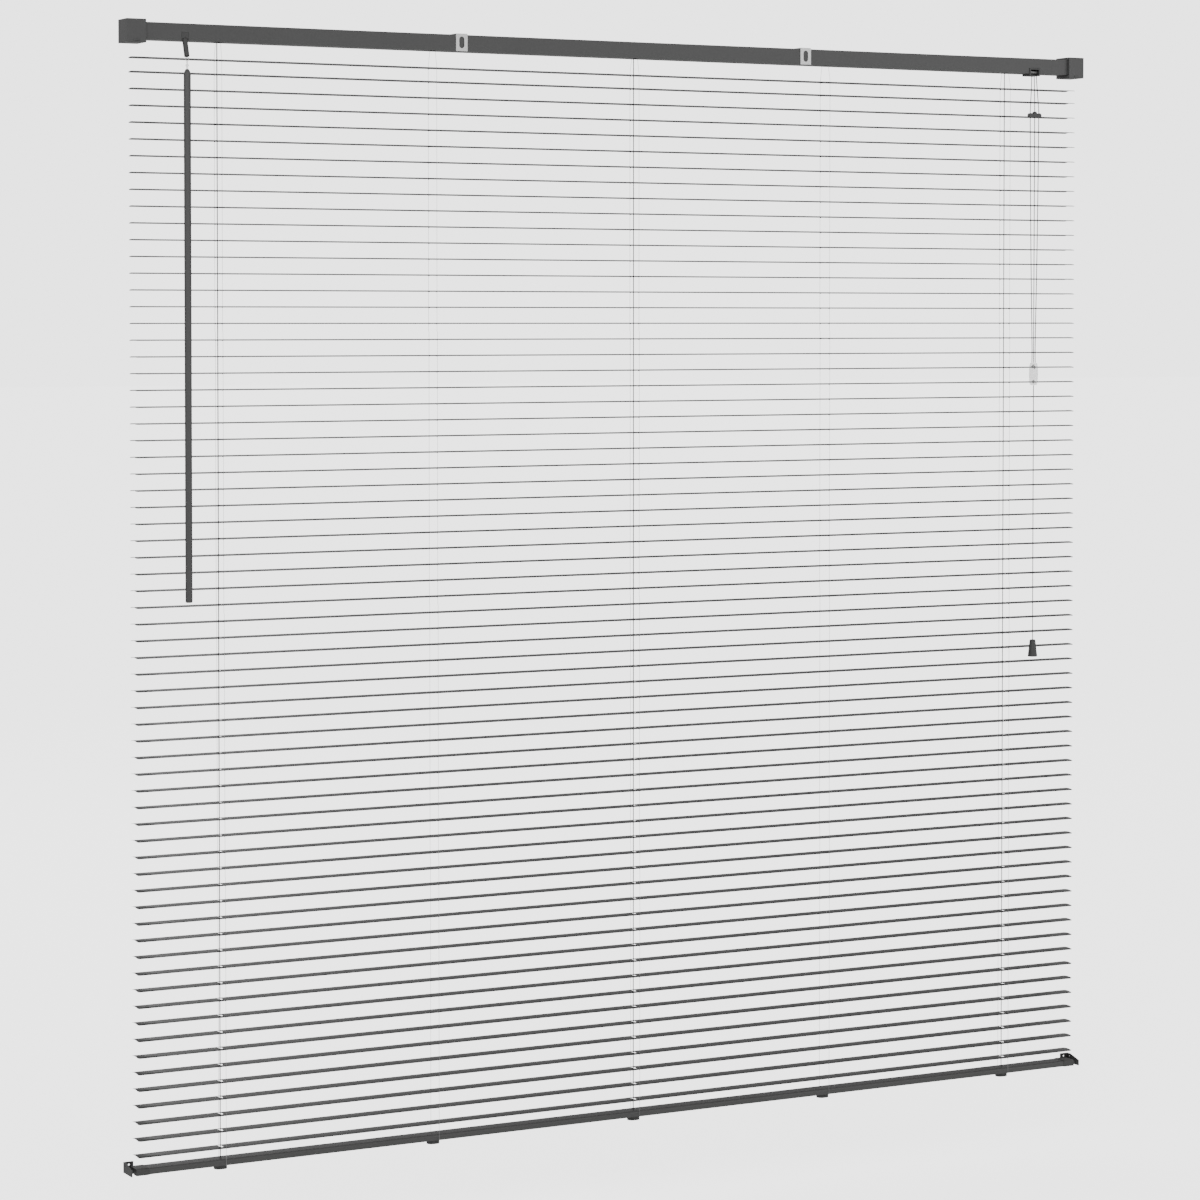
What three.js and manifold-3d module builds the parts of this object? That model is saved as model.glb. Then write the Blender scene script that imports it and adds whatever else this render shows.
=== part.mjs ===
// A 1.5 m venetian blind: a steel headrail in two box brackets, a wand-driven tilter, a cord lock,
// slats on ladder strings, and a bottom rail on hold-down brackets. Millimetres, X along the slats,
// Y away from the room, Z up. The origin is the middle of the brackets' top plane.
import * as THREE from 'three';
import { mergeVertices } from 'three/addons/utils/BufferGeometryUtils.js';
import Module from 'manifold-3d';

const wasm = await Module();
wasm.setup();

// ---- driving dimensions ----
const HALF_WIDTH = 750;          // half of the blind's overall width
const GAP = 0.3;                 // air between pieces that touch on the real blind
const BRACKET = { wide: 26, deep: 33, high: 30.5, wall: 1.5, inner: 1.2 };
const RAIL = { half: 747.5, deep: 25, top: -3.7, bottom: -26, wall: 0.8, lip: 2.5 };
const PITCH = 21.68;             // slat to slat
const FIRST_SLAT = -48.7;
const SECOND_SLAT = -67.2;       // the first gap is shorter than the pitch
const SLATS = 67;
const SLAT = { half: 739, wide: 25, arch: 1.5, thick: 0.3 };
const SLOT = { long: 14, wide: 5 };
const LADDERS = [-620, -310, 0, 310, 620];
const CORDS = [-620, 0, 620];
const CORD_R = 0.65;
const LADDER_SIDE = 1.5;         // the ladder stands this far beside the lift cord
const STRING = { y: 13.2, at_drum: 8, thick: 0.8 };
const RUNG = { below: 1.4, thick: 0.5, wide: 0.6 };
const BANKS = 4;                 // slats are carried in four banks
const BANK_SIZE = 17;
const AXLE_Z = -13;              // height of the tilt rod
const ROD_R = 2.1;
const BORE_R = 2.45;
const WHEEL = { r: 4.6, teeth: 12, wide: 5 };
const DRUM = { r: 8, flange: 8.8, half: 5, rim: 1 };
const TILTER_X = -669;
const STEM = { r: 3.5, worm_r: 1.9, y: -12.4, z: -28.7, lean: 0.318 };
const WAND = { x: -669, y: -19.2, r: 4.9, top: -63.2, bottom: -755.7, taper: 5 };
const LOCK = { x0: 655.8, x1: 674.2, front: -13.5, back: 6, top: -18.1, bottom: -29.2 };
const ROLLER = { r: 2.1, y: -7.2, z: -23.6 };
const PULL = { x: 658.8, y: -21.2, exit: [661.6, -15], spreader: -88, condenser: [-451, -483.5], tassel: [-858.5, -883.6] };
const BOTTOM = { top: -1491.5, bottom: -1499.5, wide: 25, half: 724, cap: 18, wall: 0.8 };
const PLUG = { long: 18, wide: 14, base: -1505.5, stem: 4 };
const HOLD = { wall: 1.5, deep: 15, low: -1500, back: -1486, front: -1492, leg: 13.5, hole: 1.3, pin: 1.7 };
const SUPPORT = { xs: [-271, 271], wide: 17, top: -2.1, low: -25.8, sheet: 0.8, slot: [7.8, 15.8] };

// ---- shapes ----
function clean(geometry) {
  // Merges a closed geometry's vertices, drops triangles of no area and turns it right side out.
  const bare = geometry.clone();
  for (const name of Object.keys(bare.attributes)) if (name !== 'position') bare.deleteAttribute(name);
  const merged = mergeVertices(bare, 1e-4);
  const index = merged.index.array, p = merged.attributes.position;
  const kept = [];
  let volume = 0;
  const [a, b, c] = [new THREE.Vector3(), new THREE.Vector3(), new THREE.Vector3()];
  for (let i = 0; i < index.length; i += 3) {
    const [i0, i1, i2] = [index[i], index[i + 1], index[i + 2]];
    if (i0 === i1 || i1 === i2 || i0 === i2) continue;
    kept.push(i0, i1, i2);
    a.fromBufferAttribute(p, i0);
    b.fromBufferAttribute(p, i1);
    c.fromBufferAttribute(p, i2);
    volume += a.dot(b.cross(c));
  }
  if (volume < 0) kept.reverse();
  merged.setIndex(kept);
  return merged;
}

function solid(geometry) {
  const g = clean(geometry);
  return new wasm.Manifold(new wasm.Mesh({
    numProp: 3,
    vertProperties: new Float32Array(g.attributes.position.array),
    triVerts: new Uint32Array(g.index.array),
  }));
}

function geometryOf(manifold) {
  const mesh = manifold.getMesh();
  const g = new THREE.BufferGeometry();
  g.setAttribute('position', new THREE.BufferAttribute(new Float32Array(mesh.vertProperties), 3));
  g.setIndex(Array.from(mesh.triVerts));
  return g;
}

function build(base, joined = [], cut = []) {
  // The base with some geometries joined to it and others cut from it.
  let body = solid(base);
  for (const g of joined) body = body.add(solid(g));
  for (const g of cut) body = body.subtract(solid(g));
  return geometryOf(body);
}

const box = (x0, x1, y0, y1, z0, z1) =>
  new THREE.BoxGeometry(x1 - x0, y1 - y0, z1 - z0).translate((x0 + x1) / 2, (y0 + y1) / 2, (z0 + z1) / 2);

function rod(from, to, r, sides = 16, r2 = r) {
  // A cylinder or cone from one point to another.
  const a = new THREE.Vector3(...from), b = new THREE.Vector3(...to);
  const along = b.clone().sub(a);
  const turn = new THREE.Quaternion().setFromUnitVectors(new THREE.Vector3(0, 1, 0), along.clone().normalize());
  const g = new THREE.CylinderGeometry(r2, r, along.length(), sides).applyQuaternion(turn);
  return g.translate(...a.add(b).multiplyScalar(0.5).toArray());
}

const ALONG_X = new THREE.Matrix4().makeBasis(
  new THREE.Vector3(0, 1, 0), new THREE.Vector3(0, 0, 1), new THREE.Vector3(1, 0, 0));

function extrudeX(points, x0, x1, holes = []) {
  // A (y, z) outline carried from x0 to x1.
  const outline = (list) => list.map(([y, z]) => new THREE.Vector2(y, z));
  const shape = new THREE.Shape(outline(points));
  for (const hole of holes) shape.holes.push(new THREE.Path(outline(hole)));
  const g = new THREE.ExtrudeGeometry(shape, { depth: x1 - x0, bevelEnabled: false, steps: 1 });
  return g.applyMatrix4(ALONG_X).translate(x0, 0, 0);
}

function stadium(long, wide, depth, arc = 6) {
  // A slot-shaped plug: long along the shape's own y, centred, depth along z.
  const shape = new THREE.Shape();
  const r = wide / 2, h = long / 2 - r;
  shape.absarc(0, h, r, 0, Math.PI, false);
  shape.absarc(0, -h, r, Math.PI, 2 * Math.PI, false);
  return new THREE.ExtrudeGeometry(shape, { depth, bevelEnabled: false, curveSegments: arc }).translate(0, 0, -depth / 2);
}

function latheZ(profile, sides, x, y) {
  // A (radius, z) profile turned about the vertical through x, y.
  const g = new THREE.LatheGeometry(profile.map(([r, z]) => new THREE.Vector2(r, z)), sides);
  return g.rotateX(Math.PI / 2).translate(x, y, 0);
}

function latheX(profile, sides, x, y, z) {
  // A (radius, x) profile turned about the line along X through y, z.
  const g = new THREE.LatheGeometry(profile.map(([r, u]) => new THREE.Vector2(r, u)), sides);
  return g.rotateZ(-Math.PI / 2).translate(x, y, z);
}

// ---- finishes ----
const finish = (color, roughness, metalness) => new THREE.MeshStandardMaterial({ color, roughness, metalness });
const PAINTED = [0x575757, 0.45, 0.3];
const PLASTIC = [0x4f4f4f, 0.5, 0];
const CLEAR = [0xdcdcdc, 0.25, 0];
const STEEL = [0xe4e4e4, 0.35, 0.6];
const CORD = [0x6a6a6a, 0.9, 0];

const blind = new THREE.Group();

function piece(name, geometry, look, place = [0, 0, 0]) {
  const mesh = new THREE.Mesh(clean(geometry), finish(...look));
  mesh.name = name;
  mesh.position.set(...place);
  blind.add(mesh);
  return mesh;
}

const slatZ = (n) => (n === 1 ? FIRST_SLAT : SECOND_SLAT - PITCH * (n - 2));
const twoSides = [['left', -1], ['right', 1]];

function spanX(side, near, far) {
  // The two x limits, in order, of something between near and far on one side.
  return side < 0 ? [-far, -near] : [near, far];
}

// ---- headrail and its brackets ----
function headrail() {
  const { half, deep, top, bottom, wall, lip } = RAIL;
  const y = deep / 2;
  const outline = [
    [-y, bottom], [y, bottom], [y, top], [y - lip, top], [y - lip, top - wall], [y - wall, top - wall],
    [y - wall, bottom + wall], [-y + wall, bottom + wall], [-y + wall, top - wall],
    [-y + lip, top - wall], [-y + lip, top], [-y, top],
  ];
  const ladderHoles = LADDERS.map((x) => box(x - 4, x + 5, -9.5, 9.5, bottom - 1, bottom + 2));
  const tilterMouth = box(TILTER_X - 5, TILTER_X + 5, -y - 1, -4, bottom - 1, -15);
  const lockMouth = box(LOCK.x0 - GAP, LOCK.x1 + GAP, -y - 1, LOCK.back + GAP, bottom - 1, LOCK.top + GAP);
  piece('headrail', build(extrudeX(outline, -half, half), [], [...ladderHoles, tilterMouth, lockMouth]), PAINTED);
}

function endBracket(name, side) {
  const { wide, deep, high, wall, inner } = BRACKET;
  const y = deep / 2;
  const [x0, x1] = spanX(side, HALF_WIDTH - wide, HALF_WIDTH);
  const [c0, c1] = spanX(side, HALF_WIDTH - wide + inner, HALF_WIDTH - wall);
  const shell = box(x0, x1, -y + wall, y, -high, 0);
  const hollow = box(c0, c1, -y, y - wall, -high + wall, -wall);
  const [m0, m1] = spanX(side, HALF_WIDTH - wide - 1, HALF_WIDTH - wide + inner + 1);
  const mouth = box(m0, m1, -y, RAIL.deep / 2 + GAP, RAIL.bottom - GAP, RAIL.top + GAP);
  const mid = side * (HALF_WIDTH - wide / 2);
  const screwHoles = [
    rod([mid - 5, 4, -wall - 1], [mid - 5, 4, 1], 2.2), rod([mid + 5, 4, -wall - 1], [mid + 5, 4, 1], 2.2),
    rod([mid, y - wall - 1, -high / 2], [mid, y + 1, -high / 2], 2.2),
  ];
  piece(`end_bracket_${name}`, build(shell, [], [hollow, mouth, ...screwHoles]), PAINTED);
  const cover = box(x0, x1, -y, -y + wall - GAP, -high + GAP, -GAP);
  const pull = box(mid - 4, mid + 4, -y - 1, -y + 0.2, -high + 2, -high + 3.4);
  const [f0, f1] = spanX(side, HALF_WIDTH - wide, HALF_WIDTH - wide + inner);
  const flange = box(f0, f1, -y + 0.2, -RAIL.deep / 2 - GAP, RAIL.bottom + 1, RAIL.top - 1.3);
  piece(`bracket_cover_${name}`, build(cover, [pull, flange]), PAINTED);
}

function supportBracket(name, x) {
  const { wide, top, low, sheet, slot } = SUPPORT;
  const front = -RAIL.deep / 2 - GAP, back = RAIL.deep / 2 + 0.7;
  const strip = [
    [front - sheet, low], [front, low], [front, top - sheet], [back, top - sheet], [back, -20],
    [back + sheet, -20], [back + sheet, top], [front - sheet, top],
  ];
  const hole = stadium(slot[1], slot[0], 6).rotateX(Math.PI / 2).translate(x, front, (top + low) / 2);
  piece(`support_bracket_${name}`, build(extrudeX(strip, x - wide / 2, x + wide / 2), [], [hole]), STEEL);
}

headrail();
for (const [name, side] of twoSides) endBracket(name, side);
supportBracket('left', SUPPORT.xs[0]);
supportBracket('right', SUPPORT.xs[1]);

// ---- tilter: rod, worm wheel, drums, worm with its stem, wand ----
const stemAt = (z) => [TILTER_X, STEM.y - (STEM.z - z) * (STEM.lean / Math.sqrt(1 - STEM.lean ** 2)), z];

function tilter() {
  const x = TILTER_X;
  const block = box(x - 11, x + 11, -11.4, 9, -24.9, -6);
  const nose = box(x - 4.7, x + 4.7, -12.5, -4, -25.9, -15.3);
  const cavity = [
    rod([x - 3.2, 0, AXLE_Z], [x + 3.2, 0, AXLE_Z], WHEEL.r + 0.8, 20),
    box(x - 3.2, x + 3.2, -WHEEL.r - 0.8, WHEEL.r + 0.8, AXLE_Z, -5),
    rod([x - 12, 0, AXLE_Z], [x + 12, 0, AXLE_Z], BORE_R, 16),
    rod(stemAt(-24.2), stemAt(-5), STEM.worm_r + 0.4, 12),
    rod(stemAt(-32), stemAt(-23.6), STEM.r + 0.4, 16),
  ];
  piece('tilter_housing', build(block, [nose], cavity), PLASTIC);
  const worm = rod(stemAt(-25), stemAt(-8), STEM.worm_r, 12);
  const stem = rod(stemAt(-46.6), stemAt(-24.4), STEM.r, 16);
  piece('tilter_worm', build(stem, [worm]), PLASTIC);

  piece('tilt_rod', rod([x - 9, 0, AXLE_Z], [LADDERS[4] + 9, 0, AXLE_Z], ROD_R, 6), STEEL);
  const teeth = [];
  for (let i = 0; i < WHEEL.teeth * 4; i++) {
    const a = (i / (WHEEL.teeth * 4)) * 2 * Math.PI;
    const r = i % 4 < 2 ? WHEEL.r : WHEEL.r - 0.8;
    teeth.push([r * Math.cos(a), AXLE_Z + r * Math.sin(a)]);
  }
  const bore = rod([x - 5, 0, AXLE_Z], [x + 5, 0, AXLE_Z], BORE_R, 12);
  piece('worm_wheel', build(extrudeX(teeth, x - WHEEL.wide / 2, x + WHEEL.wide / 2), [], [bore]), PLASTIC);
}

function ladderDrum(name, x) {
  const { r, flange, half, rim } = DRUM;
  const profile = [[BORE_R, -half], [flange, -half], [flange, -half + rim], [r, -half + rim + 0.5],
    [r, half - rim - 0.5], [flange, half - rim], [flange, half], [BORE_R, half], [BORE_R, -half]];
  piece(name, latheX(profile, 14, x, 0, AXLE_Z), PLASTIC);
}

function wand() {
  const { x, y, r, top, bottom, taper } = WAND;
  const ring = new THREE.TorusGeometry(2.2, 0.7, 8, 16).rotateX(Math.PI / 2).translate(x, y, -50.2);
  const shank = rod([x, y, top + GAP], [x, y, -51.9], 1.3, 12);
  piece('wand_hook', build(ring, [shank]), CLEAR);
  const profile = [[0, bottom], [r * 0.75, bottom], [r, bottom + 2], [r, top - taper], [r * 0.4, top], [0, top]];
  piece('wand', latheZ(profile, 6, x, y), PAINTED);
}

tilter();
LADDERS.forEach((x, i) => ladderDrum(`ladder_drum_${i + 1}`, x));
wand();

// ---- cord lock and pull cords ----
function cordLock() {
  const { x0, x1, front, back, top, bottom } = LOCK;
  const shell = box(x0, x1, front, back, bottom, top);
  const mouth = box(x0 + 2, x1 - 2, front - 1, -2, bottom + 2, top - 2);
  const throat = box(x0 + 2, x1 - 2, front - 1, -9, bottom - 1, bottom + 3);
  piece('cord_lock', build(shell, [], [mouth, throat]), PLASTIC);
  const { r, y, z } = ROLLER;
  piece('lock_roller', rod([x0 + 2 + GAP, y, z], [x1 - 2 - GAP, y, z], r, 16), STEEL);
}

function pullCord(name, points) {
  // An eight-sided tube along a smooth curve through the points.
  const path = new THREE.CatmullRomCurve3(points.map((p) => new THREE.Vector3(...p)));
  const section = new THREE.Shape();
  section.absarc(0, 0, CORD_R, 0, 2 * Math.PI, false);
  const g = new THREE.ExtrudeGeometry(section, { steps: 16, extrudePath: path, curveSegments: 4 });
  piece(name, g, CORD);
}

function pullSet() {
  const { x, y, exit, spreader, condenser, tassel } = PULL;
  const lanes = [[-3.4, -7.4, -2.9], [0.9, 0.4, 0], [4.5, 7.6, 2.9]];
  lanes.forEach(([atLock, atSpreader, atCondenser], i) => {
    const end = condenser[0] + GAP;
    pullCord(`pull_cord_${i + 1}`, [
      [exit[0] + atLock, exit[1], LOCK.bottom - GAP],
      [(x + exit[0]) / 2 + atLock * 0.6 + atSpreader * 0.4, (y + exit[1]) / 2, -52],
      [x + atSpreader, y, spreader + 8], [x + atSpreader, y, spreader], [x + atSpreader, y, spreader - 9],
      [x + atSpreader * 0.85 + atCondenser * 0.15, y, -180],
      [x + atSpreader * 0.5 + atCondenser * 0.5, y, -300], [x + atCondenser, y, -420], [x + atCondenser, y, end],
    ]);
  });
  const bar = box(x - 7.4, x + 7.6, y - 2.4, y + 2.4, spreader - 2, spreader + 2);
  const ears = [[-7.4, 0, 3.6], [7.6, 0, 3.6], [0.4, 3, 2.8]]
    .map(([u, w, r]) => rod([x + u, y - 2.4, spreader + w], [x + u, y + 2.4, spreader + w], r, 16));
  const eyes = lanes.map(([, u]) => rod([x + u, y, spreader - 6], [x + u, y, spreader + 6], 1.1, 12));
  piece('cord_spreader', build(bar, ears, eyes), PLASTIC);
  const [c1, c0] = condenser;
  const body = latheZ([[0, c0], [4.6, c0], [6.4, c0 + 5], [6.6, c1 - 6], [5.2, c1], [0, c1]], 20, x, y);
  piece('cord_condenser', body, CLEAR);
  piece('tassel_cord', rod([x, y, tassel[0] + GAP], [x, y, c0 - GAP], CORD_R, 8), CORD);
  const [t1, t0] = tassel;
  const cone = latheZ([[0, t0], [6.6, t0], [7.2, t0 + 1.2], [4.3, t1 - 1], [3.4, t1], [0, t1]], 20, x, y);
  piece('tassel', cone, PLASTIC);
}

cordLock();
pullSet();

// ---- slats, ladders and lift cords ----
function slatGeometry() {
  // An arched strip, crown up, with a slot for each lift cord.
  const { half, wide, arch, thick } = SLAT;
  const steps = 6, top = [], under = [];
  for (let i = 0; i <= steps; i++) {
    const u = (i / steps) * 2 - 1;
    const z = arch * (0.5 - u * u);
    top.push([u * wide / 2, z + thick / 2]);
    under.push([u * wide / 2, z - thick / 2]);
  }
  const strip = extrudeX([...under, ...top.reverse()], -half, half);
  return build(strip, [], CORDS.map((x) => stadium(SLOT.long, SLOT.wide, 8, 2).translate(x, 0, 0)));
}

function keySlats(bank) {
  // The slats of a bank that have a body of their own: the second of each group, or its third of five.
  const first = BANK_SIZE * bank;
  return [2, 6, 10, bank < BANKS - 1 ? 15 : 14].map((n) => first + n);
}

function ladder(bank) {
  const first = BANK_SIZE * bank + 1, last = Math.min(SLATS, first + BANK_SIZE - 1);
  const x = LADDER_SIDE, h = STRING.thick / 2;
  const low = bank === BANKS - 1 ? BOTTOM.top + GAP : slatZ(last) - PITCH / 2 + GAP / 2;
  const high = slatZ(first) + PITCH / 2 - GAP / 2;
  const strings = [-1, 1].map((side) => {
    const y = STRING.y * side, drum = STRING.at_drum * side;
    const top = bank === 0 ? [[drum - h, -22.5], [drum + h, -22.5], [y + h, -46]] : [[y - h, high], [y + h, high]];
    const outline = [...top, [y + h, low], [y - h, low]];
    if (bank === 0) outline.push([y - h, -46]);
    return extrudeX(outline, x - h, x + h);
  });
  const rungs = [];
  for (let n = first; n <= last; n++) {
    const z = slatZ(n) - RUNG.below;
    rungs.push(box(x - RUNG.wide / 2, x + RUNG.wide / 2, -STRING.y, STRING.y, z - RUNG.thick / 2, z + RUNG.thick / 2));
  }
  piece(`ladder_bank_${bank + 1}`, build(strings[0], [...rungs, strings[1]]), CORD);
}

const slat = slatGeometry();
for (let bank = 0; bank < BANKS; bank++) {
  ladder(bank);
  for (const n of keySlats(bank)) piece(`slat_${String(n).padStart(2, '0')}`, slat, PAINTED, [0, 0, slatZ(n)]);
}
CORDS.forEach((x, i) => piece(`lift_cord_${i + 1}`, rod([x, 0, BOTTOM.top + GAP], [x, 0, -22.5], CORD_R, 8), CORD));

// ---- bottom rail ----
function roundedOval(wide, low, high, inset = 0) {
  // A rail section with rounded top corners, listed from its lower front corner.
  const y = wide / 2 - inset, r = 2.6 - inset, top = high - inset;
  const arc = (cy, from) => [0, 1, 2, 3, 4].map((i) => {
    const a = from + (i / 4) * (Math.PI / 2);
    return [cy + r * Math.cos(a), top - r + r * Math.sin(a)];
  });
  return [[-y, low + inset], [y, low + inset], ...arc(y - r, 0), ...arc(-y + r, Math.PI / 2)];
}

function bottomRail() {
  const { top, bottom, wide, half, cap, wall } = BOTTOM;
  const section = roundedOval(wide, bottom, top);
  const hollow = roundedOval(wide, bottom, top, wall);
  const holes = LADDERS.map((x) => rod([x, 0, bottom - 1], [x, 0, bottom + 3], PLUG.stem + 0.4, 16));
  piece('bottom_rail', build(extrudeX(section, -half, half, [hollow]), [], holes), PAINTED);
  for (const [name, side] of twoSides) {
    const [x0, x1] = spanX(side, half + GAP, half + cap);
    const sleeve = extrudeX(roundedOval(wide + 1, bottom - 0.4, top + 0.4), x0, x1);
    const [n0, n1] = spanX(side, half + cap - 5, half + cap + 1);
    const middle = (top + bottom) / 2;
    const notch = box(n0, n1, -HOLD.pin - 0.4, HOLD.pin + 0.4, bottom - 1, middle + HOLD.pin + 0.4);
    piece(`rail_cap_${name}`, build(sleeve, [], [notch]), PLASTIC);
  }
  LADDERS.forEach((x, i) => {
    const disc = stadium(PLUG.long, PLUG.wide, bottom - GAP - PLUG.base, 8).rotateZ(Math.PI / 2);
    const flange = disc.translate(x, 0, (bottom - GAP + PLUG.base) / 2);
    const stem = rod([x, 0, bottom - 1], [x, 0, bottom + 5], PLUG.stem, 16);
    piece(`ladder_plug_${i + 1}`, build(flange, [stem]), PLASTIC);
  });
}

function holdDown(name, side) {
  const { wall, deep, low, back, front, leg, hole, pin } = HOLD;
  const [x0, x1] = spanX(side, HALF_WIDTH - wall, HALF_WIDTH);
  const profile = [[-deep, low], [deep, low], [deep, back], [deep - 9, back], [-deep, front]];
  const [b0, b1] = spanX(side, HALF_WIDTH - leg, HALF_WIDTH);
  const backLeg = box(b0, b1, deep - wall, deep, low, back);
  const middle = (BOTTOM.top + BOTTOM.bottom) / 2;
  const tip = side * (BOTTOM.half + BOTTOM.cap - 3);
  const peg = rod([side * (HALF_WIDTH - wall / 2), 0, middle], [tip, 0, middle], pin, 12);
  const eyes = [
    rod([side * (HALF_WIDTH - 4), 8.5, -1490], [side * (HALF_WIDTH + 1), 8.5, -1490], hole, 16),
    rod([side * (HALF_WIDTH - 7.5), deep - wall - 1, -1490], [side * (HALF_WIDTH - 7.5), deep + 1, -1490], hole, 16),
  ];
  piece(`hold_down_${name}`, build(extrudeX(profile, x0, x1), [backLeg, peg], eyes), PLASTIC);
}

bottomRail();
for (const [name, side] of twoSides) holdDown(name, side);

export default blind;
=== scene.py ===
"""A grey venetian blind, 1.5 m wide and 1.5 m high: enamelled headrail and slats, ladder strings,
lift cords, tilt wand, pull cord with its tassel, and a bottom rail on hold-down brackets.
Metres, X along the slats, Y away from the room, Z up."""

import math

import bpy
import numpy as np
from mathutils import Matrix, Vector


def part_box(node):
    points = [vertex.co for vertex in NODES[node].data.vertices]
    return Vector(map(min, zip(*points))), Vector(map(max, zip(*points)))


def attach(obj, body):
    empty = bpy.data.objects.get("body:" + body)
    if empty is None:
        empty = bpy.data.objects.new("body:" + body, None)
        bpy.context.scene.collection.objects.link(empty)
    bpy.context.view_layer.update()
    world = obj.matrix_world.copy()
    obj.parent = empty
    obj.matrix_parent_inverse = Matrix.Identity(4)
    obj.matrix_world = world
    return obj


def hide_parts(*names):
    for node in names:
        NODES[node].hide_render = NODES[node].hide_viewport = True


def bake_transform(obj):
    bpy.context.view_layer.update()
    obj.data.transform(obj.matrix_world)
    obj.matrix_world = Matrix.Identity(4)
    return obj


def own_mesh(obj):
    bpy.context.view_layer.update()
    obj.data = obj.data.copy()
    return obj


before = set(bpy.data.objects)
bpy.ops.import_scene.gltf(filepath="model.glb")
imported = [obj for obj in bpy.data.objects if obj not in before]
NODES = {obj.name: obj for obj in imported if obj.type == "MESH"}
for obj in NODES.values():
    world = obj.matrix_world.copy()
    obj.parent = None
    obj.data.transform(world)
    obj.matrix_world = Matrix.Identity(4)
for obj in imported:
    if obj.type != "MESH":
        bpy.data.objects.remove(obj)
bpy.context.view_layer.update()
MM = 0.001

# ---- sizes, all from the frame ----
KEY_SLATS = sorted(int(n[5:]) for n in NODES if n.startswith("slat_"))
KEY_Z = {n: sum(c[2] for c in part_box(f"slat_{n:02d}")) / 2 for n in KEY_SLATS}
SLAT_LOW, SLAT_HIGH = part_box(f"slat_{KEY_SLATS[0]:02d}")
SLAT_HALF, SLAT_WIDE = SLAT_HIGH[0], SLAT_HIGH[1] - SLAT_LOW[1]
PITCH = (KEY_Z[KEY_SLATS[0]] - KEY_Z[KEY_SLATS[-1]]) / (KEY_SLATS[-1] - KEY_SLATS[0])
SLATS = 67
BANK_FIRST = [1, 18, 35, 51, SLATS + 1]
FIRST_GAP = 18.5 * MM
ARCH, SHEET = 1.5 * MM, 0.25 * MM
LADDER_X = [sum(c[0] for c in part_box(f"ladder_plug_{i}")) / 2 for i in range(1, 6)]
CORD_X = [sum(c[0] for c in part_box(f"lift_cord_{i}")) / 2 for i in range(1, 4)]
LADDER_SIDE, BANK_STEP = 1.5 * MM, 0.55 * MM
STRING_Y, STRING_R = 13.2 * MM, 0.2 * MM
CORD_R = 0.65 * MM
RAIL_LOW, RAIL_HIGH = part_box("bottom_rail")
BANK_BODIES = ["headrail_assembly", "bank_2", "bank_3", "bottom_rail_assembly"]


# ---- camera, made first ----
def make_camera():
    """A long lens, left of the blind and a little above its middle, looking 28 degrees to the right."""
    data = bpy.data.cameras.new("camera")
    data.sensor_width, data.lens, data.shift_y = 36, 108.43, -0.14
    data.clip_start, data.clip_end = 0.1, 200
    camera = bpy.data.objects.new("camera", data)
    camera.location = (-2.40878, -4.40930, -0.38943)
    camera.rotation_euler = (math.radians(90 - 1.7575), 0, math.radians(-28.1172))
    bpy.context.scene.collection.objects.link(camera)
    bpy.context.scene.camera = camera


make_camera()


# ---- mesh helpers ----
def grid_faces(rows, cols, close_rows=False, close_cols=False):
    """Quads between neighbours of a rows by cols grid of points, wrapping round where a side closes."""
    i = np.arange(rows if close_rows else rows - 1)[:, None]
    j = np.arange(cols if close_cols else cols - 1)[None, :]
    i2, j2 = (i + 1) % rows, (j + 1) % cols
    quad = np.stack([i * cols + j, i2 * cols + j, i2 * cols + j2, i * cols + j2], axis=-1)
    return quad.reshape(-1, 4).tolist()


def join(parts):
    """One list of points and one of faces from several (points, faces) pairs."""
    points, faces, n = [], [], 0
    for p, f in parts:
        points.append(p)
        faces += [[k + n for k in face] for face in f]
        n += len(p)
    return np.concatenate(points), faces


def welded(points, faces):
    """The same surface with points at one place made one point."""
    _, first, same = np.unique(np.round(points, 6), axis=0, return_index=True, return_inverse=True)
    same = same.reshape(-1)
    kept = []
    for face in faces:
        ring = [int(same[k]) for k in face]
        ring = [k for n, k in enumerate(ring) if k != ring[n - 1]]
        if len(ring) > 2:
            kept.append(ring)
    return points[first], kept


def tube(path, radius, sides=8):
    """A closed round tube: a circle of the radius carried square to the path, with flat ends."""
    path = np.asarray(path, float)
    along = np.gradient(path, axis=0)
    along /= np.linalg.norm(along, axis=1, keepdims=True)
    steady = np.array([1.0, 0, 0]) if abs(along[:, 0]).max() < 0.9 else np.array([0, 0, 1.0])
    side = np.cross(along, steady)
    side /= np.linalg.norm(side, axis=1, keepdims=True)
    up = np.cross(side, along)
    angle = np.linspace(0, 2 * np.pi, sides, endpoint=False)
    ring = np.cos(angle)[None, :, None] * side[:, None] + np.sin(angle)[None, :, None] * up[:, None]
    points = (path[:, None] + radius * ring).reshape(-1, 3)
    faces = grid_faces(len(path), sides, close_cols=True)
    last = (len(path) - 1) * sides
    return points, faces + [list(range(sides)), list(range(last + sides - 1, last - 1, -1))]


def revolved(profile, sides, x, y, outline=None):
    """A (radius, z) profile turned about the vertical through x, y; outline scales the radius by angle."""
    profile = np.asarray(profile, float)
    angle = np.linspace(0, 2 * np.pi, sides, endpoint=False)
    scale = np.ones(sides) if outline is None else outline(angle)
    r = profile[:, 0][:, None] * scale[None, :]
    z = np.broadcast_to(profile[:, 1][:, None], r.shape)
    points = np.stack([x + r * np.cos(angle), y + r * np.sin(angle), z], axis=-1).reshape(-1, 3)
    last = (len(profile) - 1) * sides
    ends = [list(range(sides - 1, -1, -1)), list(range(last, last + sides))]
    return points, grid_faces(len(profile), sides, close_cols=True) + ends


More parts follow.
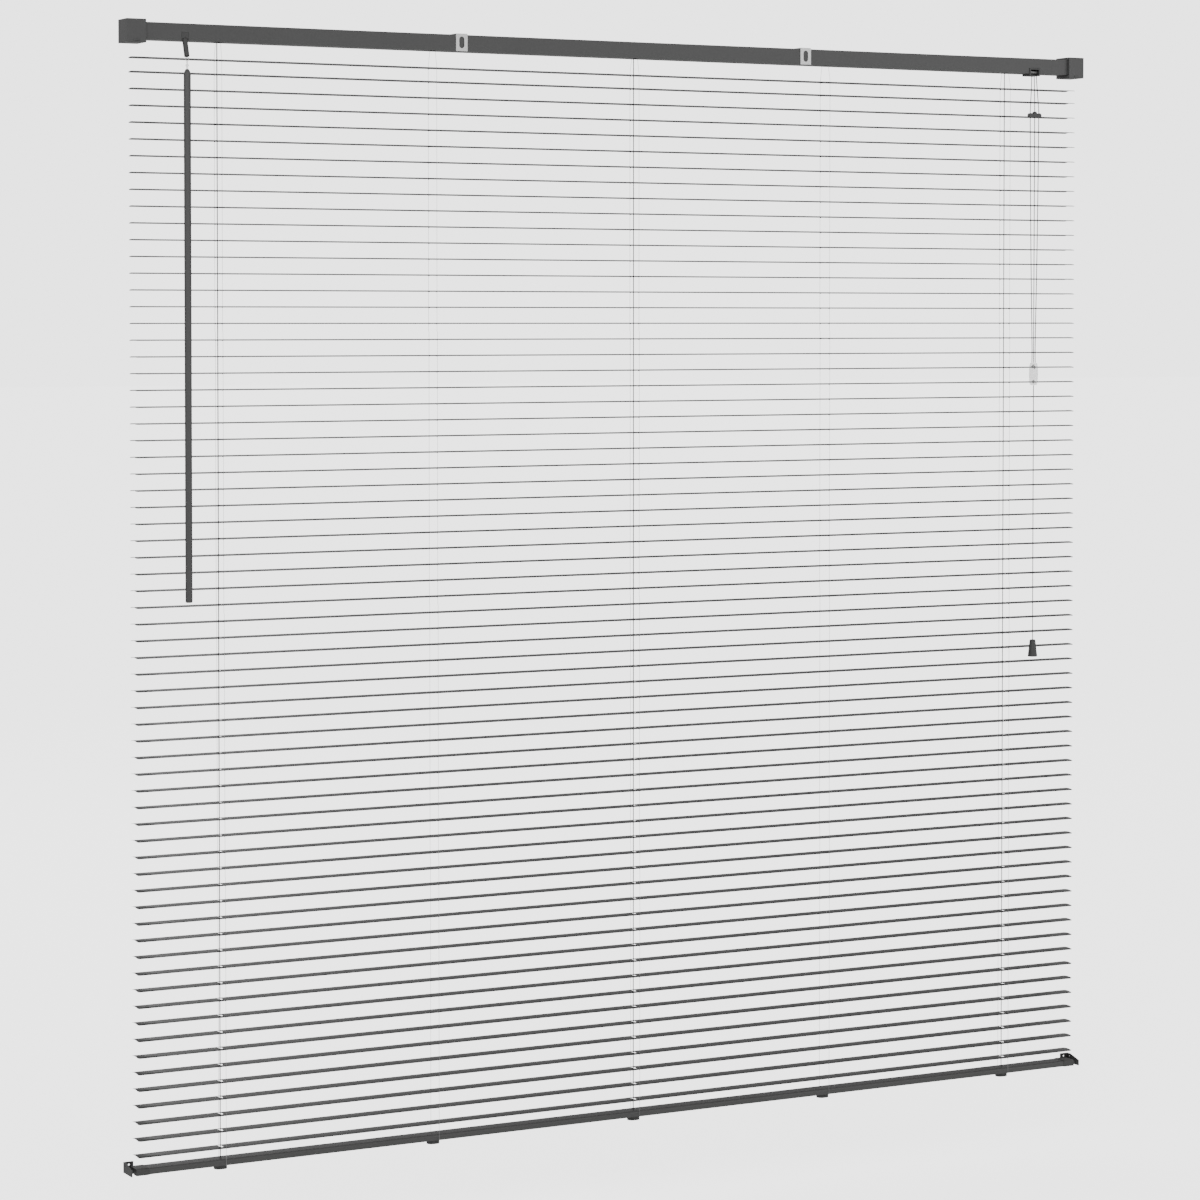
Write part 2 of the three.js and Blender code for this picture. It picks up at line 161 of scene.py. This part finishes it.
def make(name, shape, material, smooth_angle=35, bevel=0):
    """A piece from points and faces, with its normals turned outwards and its edges softened."""
    points, faces = shape
    mesh = bpy.data.meshes.new(name)
    mesh.from_pydata(np.asarray(points).tolist(), [], faces)
    mesh.materials.append(material)
    piece = bpy.data.objects.new(name, mesh)
    bpy.context.scene.collection.objects.link(piece)
    turn_outwards(mesh)
    mesh.polygons.foreach_set("use_smooth", [True] * len(mesh.polygons))
    mesh.set_sharp_from_angle(angle=math.radians(smooth_angle))
    if bevel:
        soft = piece.modifiers.new("edge", "BEVEL")
        soft.width, soft.segments, soft.limit_method = bevel, 2, "ANGLE"
        soft.angle_limit = math.radians(40)
    return piece


def turn_outwards(mesh):
    import bmesh

    b = bmesh.new()
    b.from_mesh(mesh)
    bmesh.ops.recalc_face_normals(b, faces=b.faces)
    b.to_mesh(mesh)
    b.free()


# ---- finishes ----
def linear(code):
    """An sRGB hex colour as linear red, green, blue and alpha."""
    values = np.array([int(code[i : i + 2], 16) / 255 for i in (0, 2, 4)])
    return (*np.where(values <= 0.04045, values / 12.92, ((values + 0.055) / 1.055) ** 2.4), 1.0)


def add(tree, kind, settings=None, **inputs):
    """A node with its settings; an input is a value, or a socket to link from."""
    node = tree.nodes.new(kind)
    for key, value in (settings or {}).items():
        setattr(node, key, value)
    for key, value in inputs.items():
        socket = node.inputs[int(key[1:])] if key[1:].isdigit() else node.inputs[key.replace("_", " ")]
        if isinstance(value, bpy.types.NodeSocket):
            tree.links.new(value, socket)
        else:
            socket.default_value = value
    return node


def finish(name, low, high, rough, bump_scale, bump_depth, stretch=(1, 1, 1), where="Object", **shader):
    """A principled surface: colour drifts between low and high, roughness by its own noise, and a fine bump."""
    material = bpy.data.materials.new(name)
    material.use_nodes = True
    tree = material.node_tree
    tree.nodes.clear()
    place = add(tree, "ShaderNodeTexCoord").outputs[where]
    place = add(tree, "ShaderNodeMapping", Vector=place, Scale=stretch).outputs[0]
    drift = add(tree, "ShaderNodeTexNoise", Vector=place, Scale=9.0, Detail=3.0).outputs["Fac"]
    colour = add(tree, "ShaderNodeMix", {"data_type": "RGBA"}, _0=drift, _6=linear(low), _7=linear(high))
    fine = add(tree, "ShaderNodeTexNoise", Vector=place, Scale=bump_scale, Detail=2.0).outputs["Fac"]
    span = {"_1": 0.3, "_2": 0.7, "_3": rough[0], "_4": rough[1]}
    dull = add(tree, "ShaderNodeMapRange", _0=fine, **span).outputs[0]
    bump = add(tree, "ShaderNodeBump", Height=fine, Strength=0.35, Distance=bump_depth).outputs[0]
    surface = add(
        tree, "ShaderNodeBsdfPrincipled", Base_Color=colour.outputs[2], Roughness=dull, Normal=bump, **shader
    )
    add(tree, "ShaderNodeOutputMaterial", Surface=surface.outputs[0])
    return material


# Stoved enamel on steel: an even grey skin with a soft sheen and faint orange peel, 1.5 mm across.
RAIL_ENAMEL = finish("stoved_enamel_steel", "555555", "5a5a5a", (0.42, 0.52), 650, 0.00005, Specular_IOR_Level=0.35)
# Coil-coated aluminium slat: smoother than the rail, with faint streaks along the rolled strip.
SLAT_ENAMEL = finish(
    "coil_coated_aluminium", "4b4b4b", "515151", (0.36, 0.46), 420, 0.00003, (0.1, 1, 1), Specular_IOR_Level=0.4
)
# Moulded ABS: satin, with a fine spark-eroded grain of about 0.8 mm, coarser than the real one to show.
ABS = finish("moulded_abs", "4a4a4a", "525252", (0.45, 0.6), 1200, 0.00006, Specular_IOR_Level=0.4)
# Bright zinc-plated strip: nearly white, with fine rolling lines.
ZINC = finish("zinc_plated_strip", "f4f4f4", "fcfcfc", (0.3, 0.45), 700, 0.00003, (0.15, 1, 1), Metallic=0.15)
# Zinc-plated steel of the rods in the dark of the rail and lock: painted darker and duller than the bright strip, as
# painted shade for the dark it sits in.
SHADED_ROD_STEEL = finish("zinc_plated_steel_rod_painted_shade", "7c7c7c", "8c8c8c", (0.3, 0.5), 700, 0.00003, (0.15, 1, 1), Metallic=0.4)
# Clear polycarbonate: a water-clear moulding, a little hazy, that what is in it shows through.
CLEAR = finish("clear_polycarbonate", "d4d4d4", "e4e4e4", (0.08, 0.16), 300, 0.00002, Alpha=0.38, IOR=1.585)
# Braided polyester cord: dull, with 0.5 mm plaits.
CORD = finish("braided_polyester", "3c3c3c", "4e4e4e", (0.75, 0.9), 1900, 0.0002, (1, 1, 0.5), Sheen_Weight=0.25)
# Fine spun polyester of the ladder strings: paler, because a thread this thin lets light past.
STRING = finish("spun_polyester", "9a9a9a", "b0b0b0", (0.8, 0.95), 2400, 0.0001, (1, 1, 0.4), Sheen_Weight=0.3)


# ---- slats, rungs, ladders and lift cords ----
def slat_z(n):
    """Height of slat n: an even pitch, with a shorter first gap."""
    second = KEY_Z[KEY_SLATS[0]] + PITCH * (KEY_SLATS[0] - 2)
    return second + FIRST_GAP if n == 1 else second - PITCH * (n - 2)


def arched(y):
    """Height of the slat's sheet across its width: a parabola, crown up."""
    return ARCH * (0.5 - (2 * y / SLAT_WIDE) ** 2)


def slat_sheet():
    """The slat's middle surface at height 0: flat strips between ring patches round three oblong slots.
    A patch blends from the slot's outline (half circles joined by straight sides) to a rectangle."""
    half, edge = SLAT_WIDE / 2, 6 * MM
    ys = half * np.sin(np.linspace(-np.pi / 2, np.pi / 2, 11))
    corner = 3 * MM
    over = np.clip(np.abs(ys) - (half - corner), 0, corner)
    drawn_in = corner - np.sqrt(corner**2 - over**2)
    stops = [-SLAT_HALF, *[x + s * edge for x in CORD_X for s in (-1, 1)], SLAT_HALF]
    parts = []
    for a, b in zip(stops[::2], stops[1::2]):
        inner = np.linspace(a, b, 4)
        xs = np.repeat(inner[:, None], len(ys), axis=1)
        if a == -SLAT_HALF:
            xs[0] += drawn_in
        if b == SLAT_HALF:
            xs[-1] -= drawn_in
        grid = np.stack([xs, np.broadcast_to(ys, xs.shape)], axis=-1).reshape(-1, 2)
        parts.append((grid, grid_faces(len(inner), len(ys))))
    across = np.linspace(-edge, edge, 3)
    outline = np.concatenate([
        np.stack([across[:-1], np.full(2, -half)], axis=1),
        np.stack([np.full(len(ys) - 1, edge), ys[:-1]], axis=1),
        np.stack([across[:0:-1], np.full(2, half)], axis=1),
        np.stack([np.full(len(ys) - 1, -edge), ys[:0:-1]], axis=1),
    ])
    r, straight = 2.5 * MM, 4.5 * MM
    dx, dy = np.abs(outline[:, 0]) + 1e-9, np.abs(outline[:, 1])
    size = dx**2 + dy**2
    round_end = (straight * dy + np.sqrt(np.maximum(r**2 * size - straight**2 * dx**2, 0))) / size
    reach = np.where(r / dx * dy <= straight, r / dx, round_end)
    slot = outline * reach[:, None]
    rings = np.stack([slot + (outline - slot) * t for t in (0, 0.45, 1)])
    for x in CORD_X:
        patch = rings.reshape(-1, 2) + [x, 0]
        parts.append((patch, grid_faces(3, len(outline), close_cols=True)))
    flat, faces = join(parts)
    return welded(np.column_stack([flat, arched(flat[:, 1])]), faces)


def bank_of(n):
    """The bank, 0 to 3, that slat n rises with. Slat 51 would meet the rail if it rose with the third."""
    return next(b for b in range(4) if n < BANK_FIRST[b + 1])


def ladder_line(x, bank):
    """A ladder's X in a bank: each lies a thread further along, so raised banks hang side by side."""
    return x + LADDER_SIDE + bank * BANK_STEP


def rung_threads(z, bank):
    """Five cross threads under one slat, each following the slat's arch a thread's width below it."""
    y = np.linspace(-STRING_Y, STRING_Y, 9)
    under = arched(np.clip(y, -SLAT_WIDE / 2, SLAT_WIDE / 2)) - SHEET / 2 - 0.45 * MM
    paths = [np.stack([np.full(9, ladder_line(x, bank)), y, z + under], axis=1) for x in LADDER_X]
    return join([tube(p, 0.3 * MM, 5) for p in paths])


def key_of(n):
    """The slat with a body of its own that slat n follows: the nearest one in its bank."""
    same = [k for k in KEY_SLATS if bank_of(k) == bank_of(n)]
    return min(same, key=lambda k: abs(k - n))


def follow(piece, n):
    """Slat n turns with its key slat's body; a slat that is not the key slat gets its own copy of the mesh."""
    key = key_of(n)
    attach(piece, f"slat_{key:02d}")
    if n == key:
        return
    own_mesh(piece)


def make_slats():
    points, faces = slat_sheet()
    for n in range(1, SLATS + 1):
        z = slat_z(n)
        slat = make(f"slat_{n:02d}_sheet", (points + [0, 0, z], faces), SLAT_ENAMEL, 60)
        skin = slat.modifiers.new("sheet", "SOLIDIFY")
        skin.thickness, skin.offset = SHEET, 0
        follow(slat, n)
        if n in KEY_SLATS:
            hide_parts(f"slat_{n:02d}")
        rungs = make(f"rungs_{n:02d}", rung_threads(z, bank_of(n)), CORD, 80)
        follow(rungs, n)


def ladder_strings(bank):
    """The ten upright threads of a bank, front and back at each ladder. The first bank's leave the drums."""
    first, last = BANK_FIRST[bank], BANK_FIRST[bank + 1] - 1
    parts = []
    for x in LADDER_X:
        for side in (-1, 1):
            y = side * STRING_Y
            line = [[y, slat_z(first) + PITCH / 2], [y, slat_z(last) - PITCH / 2]]
            if bank == 0:
                line = [[side * 8 * MM, -14 * MM], [side * 8 * MM, -23 * MM], [y, -47 * MM], line[1]]
            if bank == len(BANK_BODIES) - 1:
                under = RAIL_LOW[2] - 0.6 * MM
                wrap = [[side * 12.2 * MM, under], [side * 6 * MM, under]]
                line = [line[0], [y, RAIL_HIGH[2]], [y, RAIL_LOW[2] + 1 * MM], *wrap]
            line = np.array(line)
            parts.append(tube(np.column_stack([np.full(len(line), ladder_line(x, bank)), line]), STRING_R, 6))
    return join(parts)


def make_ladders():
    for bank, body in enumerate(BANK_BODIES):
        strings = make(f"ladder_strings_{bank + 1}", ladder_strings(bank), STRING, 80)
        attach(strings, body)
        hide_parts(f"ladder_bank_{bank + 1}")
        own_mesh(strings)


def make_lift_cords():
    top, low = -22 * MM, RAIL_HIGH[2] + 0.3 * MM
    for i, x in enumerate(CORD_X):
        path = np.stack([np.full(40, x), np.zeros(40), np.linspace(top, low, 40)], axis=1)
        cord = make(f"lift_cord_{i + 1}_braid", tube(path, CORD_R, 10), CORD, 80)
        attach(cord, "headrail_assembly")
        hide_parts(f"lift_cord_{i + 1}")
        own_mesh(cord)


# ---- pull cords ----
PULL_X, PULL_Y = 658.8 * MM, -21.2 * MM
LOCK_X, LOCK_Y, LOCK_LOW, SPREADER = 661.6, -15, -29.2, -88
CONDENSER_LOW, CONDENSER_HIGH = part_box("cord_condenser")
TASSEL_LOW, TASSEL_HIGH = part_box("tassel")
LANES = [(-3.4, -7.4, -2.9), (0.9, 0.4, 0), (4.5, 7.6, 2.9)]


def smooth_path(points, steps):
    """A Catmull-Rom curve through the points, steps to each span."""
    p = np.asarray(points, float)
    p = np.vstack([2 * p[0] - p[1], p, 2 * p[-1] - p[-2]])
    t = np.linspace(0, 1, steps, endpoint=False)[:, None]
    spans = []
    for a, b, c, d in zip(p, p[1:], p[2:], p[3:]):
        square, cube = 2 * a - 5 * b + 4 * c - d, 3 * b - a - 3 * c + d
        spans.append(0.5 * (2 * b + (c - a) * t + square * t**2 + cube * t**3))
    return np.vstack([*spans, p[-2]])


def pull_route(lane):
    """One cord's line from the lock, through the spreader, to the top of the condenser."""
    at_lock, at_spreader, at_end = LANES[lane]
    x, y = PULL_X / MM, PULL_Y / MM
    end = CONDENSER_HIGH[2] / MM + 0.3
    return MM * smooth_path([
        [LOCK_X + at_lock, LOCK_Y, LOCK_LOW - 0.3],
        [(x + LOCK_X) / 2 + at_lock * 0.6 + at_spreader * 0.4, (y + LOCK_Y) / 2, -52],
        [x + at_spreader, y, SPREADER + 8], [x + at_spreader, y, SPREADER], [x + at_spreader, y, SPREADER - 9],
        [x + at_spreader * 0.85 + at_end * 0.15, y, -180],
        [x + at_spreader * 0.5 + at_end * 0.5, y, -300], [x + at_end, y, -420], [x + at_end, y, end],
    ], 8)


def make_pull_cords():
    for lane in range(len(LANES)):
        path = pull_route(lane)
        cord = make(f"pull_cord_{lane + 1}_braid", tube(path, CORD_R, 10), CORD, 80)
        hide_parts(f"pull_cord_{lane + 1}")
        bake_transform(cord)
    path = np.stack([
        np.full(30, PULL_X), np.full(30, PULL_Y),
        np.linspace(CONDENSER_LOW[2] - 0.3 * MM, TASSEL_HIGH[2] + 0.3 * MM, 30),
    ], axis=1)
    cord = make("tassel_cord_braid", tube(path, CORD_R, 10), CORD, 80)
    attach(cord, "pull_assembly")
    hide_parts("tassel_cord")


def make_condenser():
    """A clear barrel, waisted at both ends, with the cords' knots showing inside its top and foot."""
    low, high = CONDENSER_LOW[2], CONDENSER_HIGH[2]
    wall = [[0.4, low], [4.4, low], [4.9, low + 0.6 * MM], [6.3, low + 5 * MM], [6.6, low + 14 * MM],
            [6.5, high - 7 * MM], [5.4, high - 0.8 * MM], [4.9, high], [0.4, high]]
    profile = [[r * MM, z] for r, z in wall]
    barrel = make("condenser_barrel", revolved(profile, 32, PULL_X, PULL_Y), CLEAR, 40)
    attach(barrel, "pull_assembly")
    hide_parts("cord_condenser")
    knots = []
    top = [(-1.9, high - 5.5 * MM, 1.7), (1.9, high - 6.5 * MM, 1.7), (0, high - 3.4 * MM, 1.2)]
    for dx, z, r in [*top, (0, low + 5 * MM, 2.0)]:
        turn = np.linspace(-np.pi / 2 + 0.2, np.pi / 2 - 0.2, 9)
        ball = np.stack([r * MM * np.cos(turn), z + 1.3 * r * MM * np.sin(turn)], axis=1)
        knots.append(revolved(ball, 12, PULL_X + dx * MM, PULL_Y))
    tied = make("condenser_knots", join(knots), CORD, 60)
    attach(tied, "pull_assembly")
    return [barrel, tied]


def make_tassel():
    """A tapered moulding: a flat shoulder, straight flared sides and a rounded foot."""
    low, high = TASSEL_LOW[2], TASSEL_HIGH[2]
    profile = [[0.9, high], [3.3, high], [4.0, high - 0.4 * MM], [4.35, high - 1.2 * MM], [6.9, low + 2.2 * MM],
               [7.2, low + 1.2 * MM], [6.9, low + 0.3 * MM], [6.2, low], [1.2, low], [1.0, low + 2 * MM]]
    body = make("tassel_bell", revolved([[r * MM, z] for r, z in profile], 36, PULL_X, PULL_Y), ABS, 40)
    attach(body, "pull_assembly")
    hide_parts("tassel")
    return [body]


# ---- wand ----
def make_wand():
    """A six-sided rod with rounded arrises, a necked top and a capped foot, on a clear hook."""
    low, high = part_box("wand")
    x, y = (low[0] + high[0]) / 2, (low[1] + high[1]) / 2
    flat = (high[0] - low[0]) / 2

    def six_sided(angle):
        """Radius of a hexagon with its corners rounded: the flat's distance, eased towards the corner."""
        turned = (angle + np.pi / 6) % (np.pi / 3) - np.pi / 6
        return np.minimum(1 / np.cos(turned), 1.115)

    z0, z1 = low[2], high[2]
    steps = [[0.3, z0], [0.72, z0], [0.9, z0 + 0.5 * MM], [1.0, z0 + 1.8 * MM], [1.0, z0 + 15 * MM], [0.95, z0 + 15.4 * MM],
             [0.95, z0 + 16 * MM], [1.0, z0 + 16.4 * MM], [1.0, z1 - 6 * MM], [0.82, z1 - 3.4 * MM], [0.5, z1 - 0.8 * MM],
             [0.4, z1], [0.1, z1]]
    rod = make("wand_rod", revolved([[r * flat, z] for r, z in steps], 48, x, y, six_sided), RAIL_ENAMEL, 25)
    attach(rod, "wand")
    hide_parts("wand")
    hook_low, hook_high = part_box("wand_hook")
    turn = np.linspace(0, 2 * np.pi, 33)[:-1]
    centre = hook_high[2] - 2.9 * MM
    ring = np.stack([x + 2.2 * MM * np.sin(turn), np.full(32, y), centre + 2.2 * MM * np.cos(turn)], axis=1)
    angle = np.linspace(0, 2 * np.pi, 10, endpoint=False)
    out = (ring - [x, y, centre]) / (2.2 * MM)
    skin = ring[:, None] + 0.7 * MM * (
        np.cos(angle)[None, :, None] * out[:, None] + np.sin(angle)[None, :, None] * np.array([0, 1.0, 0])
    )
    loop = (skin.reshape(-1, 3), grid_faces(32, 10, close_rows=True, close_cols=True))
    shank = [[0.2, hook_low[2]], [1.3, hook_low[2]], [1.3, hook_low[2] + 3 * MM], [2.3, hook_low[2] + 3.6 * MM],
             [2.3, hook_low[2] + 5 * MM], [1.2, hook_low[2] + 6 * MM], [1.2, centre - 2.6 * MM], [0.2, centre - 2.4 * MM]]
    stem = revolved([[r * MM, z] for r, z in shank], 20, x, y)
    hook = make("wand_hook_clear", join([loop, stem]), CLEAR, 40)
    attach(hook, "wand_hook")
    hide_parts("wand_hook")


# ---- finishes on the pieces that keep their worked shape ----
def dress(names, material):
    for name in names:
        node = NODES[name]
        for slot in node.material_slots:
            slot.material = material
        if not node.material_slots:
            node.data.materials.append(material)


def dress_frame():
    left = set(NODES)
    enamelled = [n for n in left if n in ("headrail", "bottom_rail") or n.startswith(("end_bracket", "bracket_cover"))]
    plated = [n for n in left if n.startswith("support_bracket")]
    rods = ["lock_roller", "tilt_rod"]
    dress(enamelled, RAIL_ENAMEL)
    dress(plated, ZINC)
    dress(rods, SHADED_ROD_STEEL)
    dress(left - set(enamelled) - set(plated) - set(rods), ABS)


# ---- studio ----
ROOM_LIGHT, ROOM_SEEN = 0.5, 3.0


def studio():
    """A white room with a pale floor and three large soft lamps. The room and floor show white to the eye,
    and light the blind far less than that, so that its greys keep their depth against them."""
    world = bpy.data.worlds.new("studio")
    bpy.context.scene.world = world
    world.use_nodes = True
    tree = world.node_tree
    seen = add(tree, "ShaderNodeLightPath").outputs["Is Camera Ray"]
    level = add(tree, "ShaderNodeMapRange", _0=seen, _3=ROOM_LIGHT, _4=ROOM_SEEN).outputs[0]
    tree.nodes["Background"].inputs[0].default_value = (1, 1, 1, 1)
    tree.links.new(level, tree.nodes["Background"].inputs[1])
    size, floor_z = 60.0, -1.62
    points = np.array([[-size, -size, floor_z], [size, -size, floor_z], [size, size, floor_z], [-size, size, floor_z]])
    pale = bpy.data.materials.new("studio_floor")
    pale.use_nodes = True
    tree, paint = pale.node_tree, pale.node_tree.nodes["Principled BSDF"]
    paint.inputs["Base Color"].default_value = (0.96, 0.96, 0.96, 1)
    paint.inputs["Roughness"].default_value = 0.9
    paint.inputs["Emission Color"].default_value = (1, 1, 1, 1)
    seen = add(tree, "ShaderNodeLightPath").outputs["Is Camera Ray"]
    glow = add(tree, "ShaderNodeMapRange", _0=seen, _3=0.0, _4=0.88 * ROOM_SEEN).outputs[0]
    tree.links.new(glow, paint.inputs["Emission Strength"])
    mesh = bpy.data.meshes.new("floor")
    mesh.from_pydata(points.tolist(), [], [[0, 1, 2, 3]])
    mesh.materials.append(pale)
    floor = bpy.data.objects.new("floor", mesh)
    bpy.context.scene.collection.objects.link(floor)
    for name, place, power, wide in [
        ("key", (-3.5, -4.5, 2.5), 90, 2.5), ("fill", (4.0, -4.0, 0.5), 50, 3.0), ("back", (0, 4.5, 2.0), 40, 3.0),
    ]:
        lamp = bpy.data.lights.new(name, "AREA")
        lamp.energy, lamp.size = power, wide
        lit = bpy.data.objects.new(name, lamp)
        lit.location = place
        aim = np.array([0, 0, -0.75]) - np.array(place)
        lit.rotation_euler = (
            math.atan2(math.hypot(aim[0], aim[1]), -aim[2]), 0, math.atan2(aim[1], aim[0]) - math.pi / 2,
        )
        bpy.context.scene.collection.objects.link(lit)


PULL_PIECES = [*make_condenser(), *make_tassel()]
make_pull_cords()
make_slats()
make_ladders()
make_lift_cords()
make_wand()
dress_frame()
studio()
